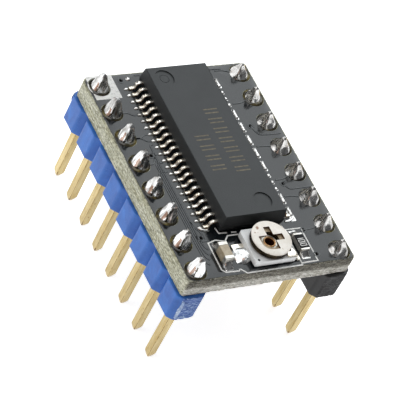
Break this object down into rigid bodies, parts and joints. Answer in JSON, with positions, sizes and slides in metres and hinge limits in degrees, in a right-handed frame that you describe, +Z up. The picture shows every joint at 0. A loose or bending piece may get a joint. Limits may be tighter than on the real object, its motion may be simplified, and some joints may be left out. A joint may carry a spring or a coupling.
{
  "type": "stepper motor driver module",
  "caption": "Small plug-in stepper motor driver board with a flat lead-frame chip, a turnable current trimmer and two square-pin headers underneath",
  "frame": {"origin": "centre of the bounding box's underside, at the header pins' tips", "axes": "+Z up through the board to the chip; +Y along the board's long side, away from the trimmer; +X towards the black header"},
  "size_m": [0.0152, 0.0204, 0.0118],
  "materials": {
    "solder_mask": "satin",
    "header_blue": "satin",
    "header_black": "satin",
    "pin_gold": "polished",
    "solder": "satin",
    "chip_mould": "matte",
    "lead_tin": "satin",
    "die_copper": "satin",
    "die_silicon": "satin",
    "trimmer_ceramic": "satin",
    "rotor_steel": "satin",
    "eyelet_copper": "satin",
    "terminal_tin": "satin",
    "resistive_film": "matte",
    "capacitor_ceramic": "satin",
    "end_cap_tin": "satin",
    "alumina": "matte",
    "overcoat_black": "gloss"
  },
  "bodies": {
    "module": {"circuit_board": "solder_mask", "header_strip_left": "header_blue", "header_strip_right": "header_black", "header_pin_left_1": "pin_gold", "header_pin_left_2": "pin_gold", "header_pin_left_3": "pin_gold", "header_pin_left_4": "pin_gold", "header_pin_left_5": "pin_gold", "header_pin_left_6": "pin_gold", "header_pin_left_7": "pin_gold", "header_pin_left_8": "pin_gold", "header_pin_right_1": "pin_gold", "header_pin_right_2": "pin_gold", "header_pin_right_3": "pin_gold", "header_pin_right_4": "pin_gold", "header_pin_right_5": "pin_gold", "header_pin_right_6": "pin_gold", "header_pin_right_7": "pin_gold", "header_pin_right_8": "pin_gold", "solder_joint_left_1": "solder", "solder_joint_left_2": "solder", "solder_joint_left_3": "solder", "solder_joint_left_4": "solder", "solder_joint_left_5": "solder", "solder_joint_left_6": "solder", "solder_joint_left_7": "solder", "solder_joint_left_8": "solder", "solder_joint_right_1": "solder", "solder_joint_right_2": "solder", "solder_joint_right_3": "solder", "solder_joint_right_4": "solder", "solder_joint_right_5": "solder", "solder_joint_right_6": "solder", "solder_joint_right_7": "solder", "solder_joint_right_8": "solder", "chip_mould": "chip_mould", "chip_leads_left": "lead_tin", "chip_leads_right": "lead_tin", "chip_die_pad": "die_copper", "chip_die": "die_silicon", "trimmer_base": "trimmer_ceramic", "trimmer_track": "resistive_film", "trimmer_eyelet": "eyelet_copper", "trimmer_wiper_terminal": "terminal_tin", "trimmer_end_terminal_back": "terminal_tin", "trimmer_end_terminal_front": "terminal_tin", "capacitor_body": "capacitor_ceramic", "capacitor_end_cap_front": "end_cap_tin", "capacitor_end_cap_back": "end_cap_tin", "resistor_substrate": "alumina", "resistor_end_cap_front": "end_cap_tin", "resistor_end_cap_back": "end_cap_tin", "resistor_overcoat": "overcoat_black", "sense_resistor_left": "overcoat_black", "sense_resistor_right": "overcoat_black", "supply_capacitor_left": "capacitor_ceramic", "supply_capacitor_right": "capacitor_ceramic", "charge_pump_capacitor": "capacitor_ceramic", "pull_up_resistor": "overcoat_black"},
    "rotor": {"trimmer_rotor": "rotor_steel"}
  },
  "joints": [
    {"name": "trimmer_turn", "type": "hinge", "parent": "module", "child": "rotor", "pos_m": [0.0002, -0.00788, 0.0112], "axis": [0, 0, 1], "range_deg": [-120, 120]}
  ]
}
